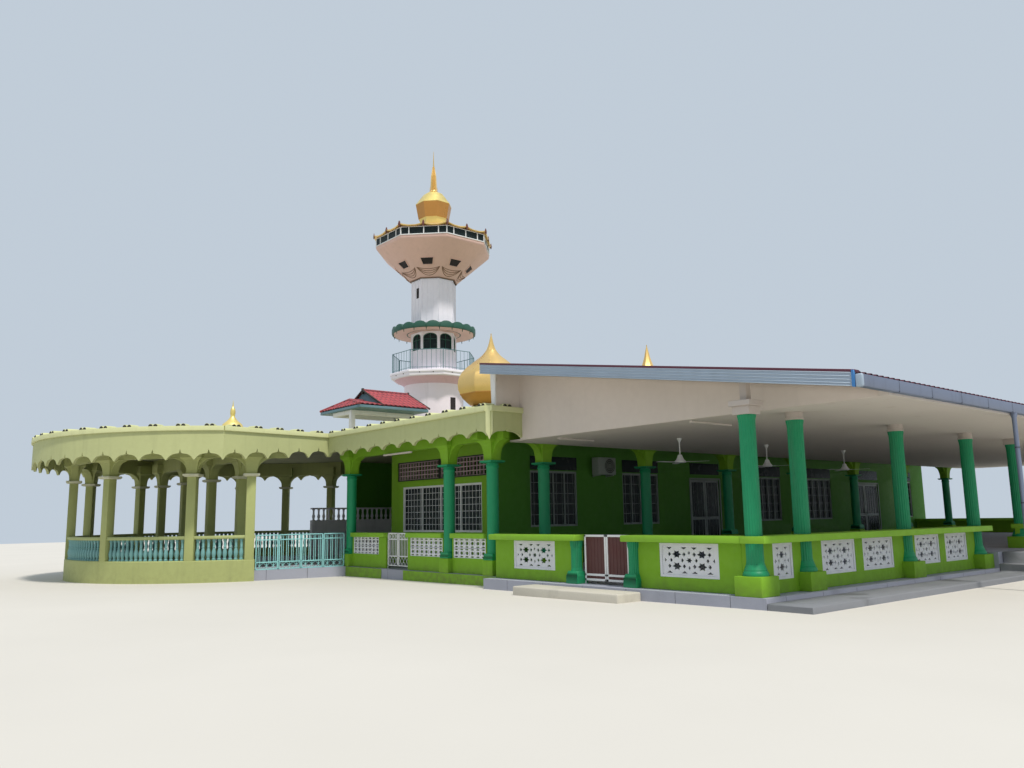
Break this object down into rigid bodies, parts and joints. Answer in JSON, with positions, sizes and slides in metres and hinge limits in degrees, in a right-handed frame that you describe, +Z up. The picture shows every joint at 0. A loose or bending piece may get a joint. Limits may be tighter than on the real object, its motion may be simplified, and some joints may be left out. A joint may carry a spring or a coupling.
{
  "type": "village mosque",
  "caption": "Village mosque with a wide verandah, scalloped canopy, round columned porch, prayer hall with gold onion domes, tiled lantern roof and slender minaret.",
  "frame": {"origin": "bottom centre of the whole building, on the lowest ground under its walls", "axes": "+X right along the street front, +Y back from the street, +Z up"},
  "size_m": [29.38, 36.8698, 20.09],
  "materials": {
    "lime_wall": "painted plaster, matt",
    "emerald_paint": "painted plaster, satin",
    "olive_wall": "painted plaster, matt",
    "pale_olive_fascia": "painted plaster, matt",
    "concrete": "weathered cement",
    "cream_step": "worn cement",
    "beige_board": "painted board, matt",
    "white_paint": "painted, satin",
    "white_masonry": "painted plaster, matt",
    "pale_pink_masonry": "painted plaster, matt",
    "dome_gold": "gold paint, glossy",
    "red_tile": "clay tile, matt",
    "roof_sheet": "painted sheet, satin",
    "gutter_sheet": "painted sheet, satin",
    "brown_sheet": "painted sheet, satin",
    "teal_paint": "painted bars, satin",
    "green_roof": "painted, satin",
    "window_glass": "clear"
  },
  "bodies": {
    "building": {"ground_floor": "concrete", "raised_floor": "concrete", "gate_step": "cream_step", "side_apron_and_steps": "concrete", "verandah_column_1": "emerald_paint", "verandah_column_2": "emerald_paint", "verandah_column_3": "emerald_paint", "verandah_column_4": "emerald_paint", "side_parapet": "lime_wall", "front_parapet_right": "lime_wall", "front_parapet_left": "lime_wall", "rear_parapet": "lime_wall", "verandah_roof": "roof_sheet", "roof_front_strip": "roof_sheet", "verandah_ceiling": "beige_board", "gable_walls": "beige_board", "gutter_and_downpipes": "gutter_sheet", "hall_arcade": "emerald_paint", "canopy_parapet_left": "lime_wall", "canopy_parapet_middle": "lime_wall", "canopy_parapet_right": "lime_wall", "hall_front_wall": "lime_wall", "vent_screen": "pale_pink_masonry", "hall_side_wall": "lime_wall", "prayer_hall_walls": "lime_wall", "hall_glazing": "window_glass", "air_conditioner": "white_paint", "flat_roof": "concrete", "canopy_fascia": "pale_olive_fascia", "porch_fascia": "pale_olive_fascia", "porch_finial": "dome_gold", "small_dome": "dome_gold", "main_dome": "dome_gold", "lantern_frame": "white_masonry", "lantern_tile_roof": "red_tile", "porch_arcade": "olive_wall", "porch_wall": "olive_wall", "folding_gate": "teal_paint", "inner_balustrade": "white_masonry", "tower_base": "pale_pink_masonry", "balcony_railing": "teal_paint", "tower_lantern": "white_masonry", "lantern_roof": "green_roof", "tower_shaft": "white_masonry", "tower_funnel": "pale_pink_masonry", "tower_cabin": "white_masonry", "cabin_roof": "dome_gold", "tower_spire": "dome_gold"},
    "front_gate_left": {"front_gate_left_leaf": "brown_sheet"},
    "front_gate_right": {"front_gate_right_leaf": "brown_sheet"},
    "small_gate_left": {"small_gate_left_leaf": "white_paint"},
    "small_gate_right": {"small_gate_right_leaf": "white_paint"},
    "door_1_near": {"hall_door_1_near_leaf": "white_paint"},
    "door_1_far": {"hall_door_1_far_leaf": "white_paint"},
    "door_2_near": {"hall_door_2_near_leaf": "white_paint"},
    "door_2_far": {"hall_door_2_far_leaf": "white_paint"},
    "fan_1": {"fan_rotor_1": "white_paint"},
    "fan_2": {"fan_rotor_2": "white_paint"},
    "fan_3": {"fan_rotor_3": "white_paint"}
  },
  "joints": [
    {"name": "front_gate_left_hinge", "type": "hinge", "parent": "building", "child": "front_gate_left", "pos_m": [8.1, -10.96512, 0.46], "axis": [0, 0, 1], "range_deg": [0, 90]},
    {"name": "front_gate_right_hinge", "type": "hinge", "parent": "building", "child": "front_gate_right", "pos_m": [9.35, -10.96512, 0.46], "axis": [0, 0, -1], "range_deg": [0, 90]},
    {"name": "small_gate_left_hinge", "type": "hinge", "parent": "building", "child": "small_gate_left", "pos_m": [-0.3, -10.61512, 0.47], "axis": [0, 0, 1], "range_deg": [0, 90]},
    {"name": "small_gate_right_hinge", "type": "hinge", "parent": "building", "child": "small_gate_right", "pos_m": [0.79, -10.61512, 0.47], "axis": [0, 0, -1], "range_deg": [0, 90]},
    {"name": "door_1_near_hinge", "type": "hinge", "parent": "building", "child": "door_1_near", "pos_m": [2.33, 0.09488, 0.79], "axis": [0, 0, 1], "range_deg": [0, 90]},
    {"name": "door_1_far_hinge", "type": "hinge", "parent": "building", "child": "door_1_far", "pos_m": [2.33, 1.70488, 0.79], "axis": [0, 0, -1], "range_deg": [0, 90]},
    {"name": "door_2_near_hinge", "type": "hinge", "parent": "building", "child": "door_2_near", "pos_m": [2.33, 11.26488, 0.79], "axis": [0, 0, 1], "range_deg": [0, 90]},
    {"name": "door_2_far_hinge", "type": "hinge", "parent": "building", "child": "door_2_far", "pos_m": [2.33, 13.60488, 0.79], "axis": [0, 0, -1], "range_deg": [0, 90]},
    {"name": "fan_1_spin", "type": "hinge", "parent": "building", "child": "fan_1", "pos_m": [7.72, -7.16512, 3.19], "axis": [0, 0, 1], "continuous": true},
    {"name": "fan_2_spin", "type": "hinge", "parent": "building", "child": "fan_2", "pos_m": [7.72, -3.36512, 3.19], "axis": [0, 0, 1], "continuous": true},
    {"name": "fan_3_spin", "type": "hinge", "parent": "building", "child": "fan_3", "pos_m": [7.72, 0.83488, 3.19], "axis": [0, 0, 1], "continuous": true}
  ]
}
